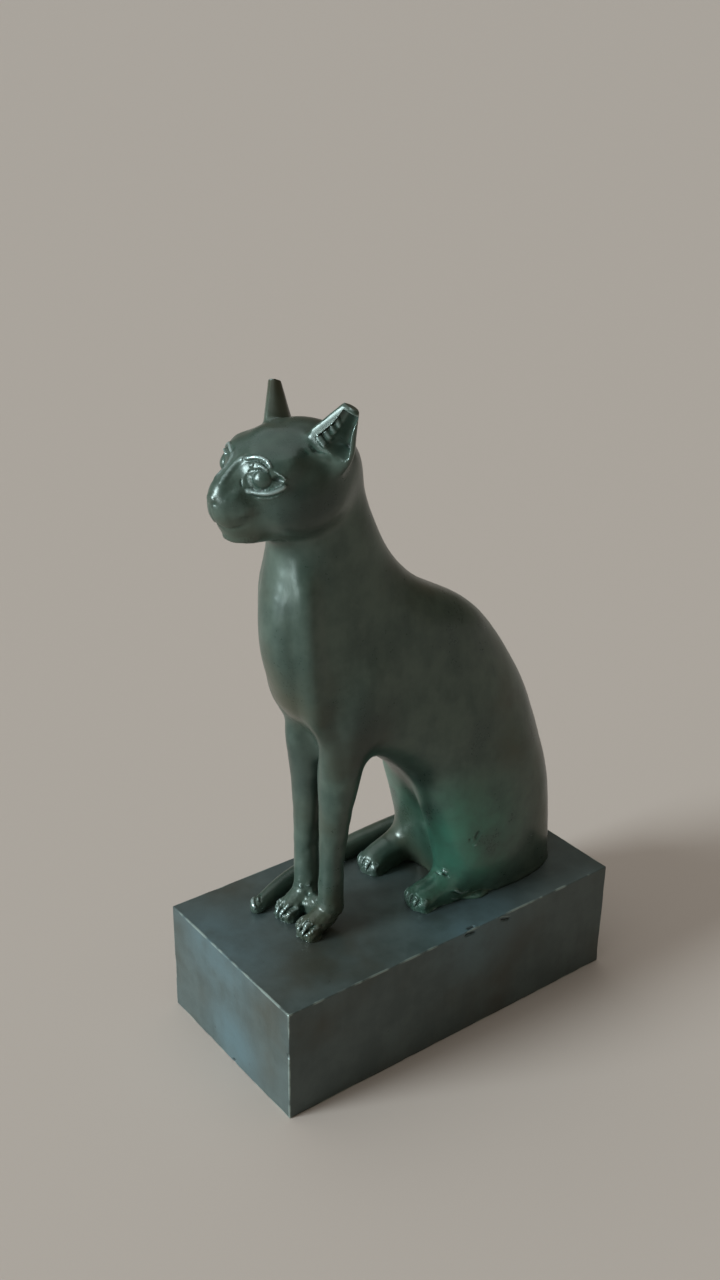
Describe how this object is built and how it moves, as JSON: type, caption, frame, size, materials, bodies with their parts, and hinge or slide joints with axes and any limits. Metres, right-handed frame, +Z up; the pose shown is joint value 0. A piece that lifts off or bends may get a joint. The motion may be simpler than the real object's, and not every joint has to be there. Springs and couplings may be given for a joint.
{
  "type": "egyptian cat statue",
  "caption": "Seated cat in the ancient Egyptian manner, upright on a plain block plinth, front legs together and tail laid along its right side, in dark bronze-green.",
  "frame": {"origin": "middle of the plinth's underside", "axes": "+Z up, the cat faces -Y along the plinth's length, its left side is +X"},
  "size_m": [0.051, 0.1007, 0.1623],
  "materials": {
    "cat_patina": "satin dark olive-green bronze patina, teal in the hollows of the haunch and legs, paler on the raised carving",
    "plinth_patina": "satin dark bronze-green patina, a little greyer than the cat, with thin pale worn lines on its edges"
  },
  "bodies": {
    "root": {"seated_cat": "cat_patina", "plinth": "plinth_patina"}
  },
  "joints": []
}
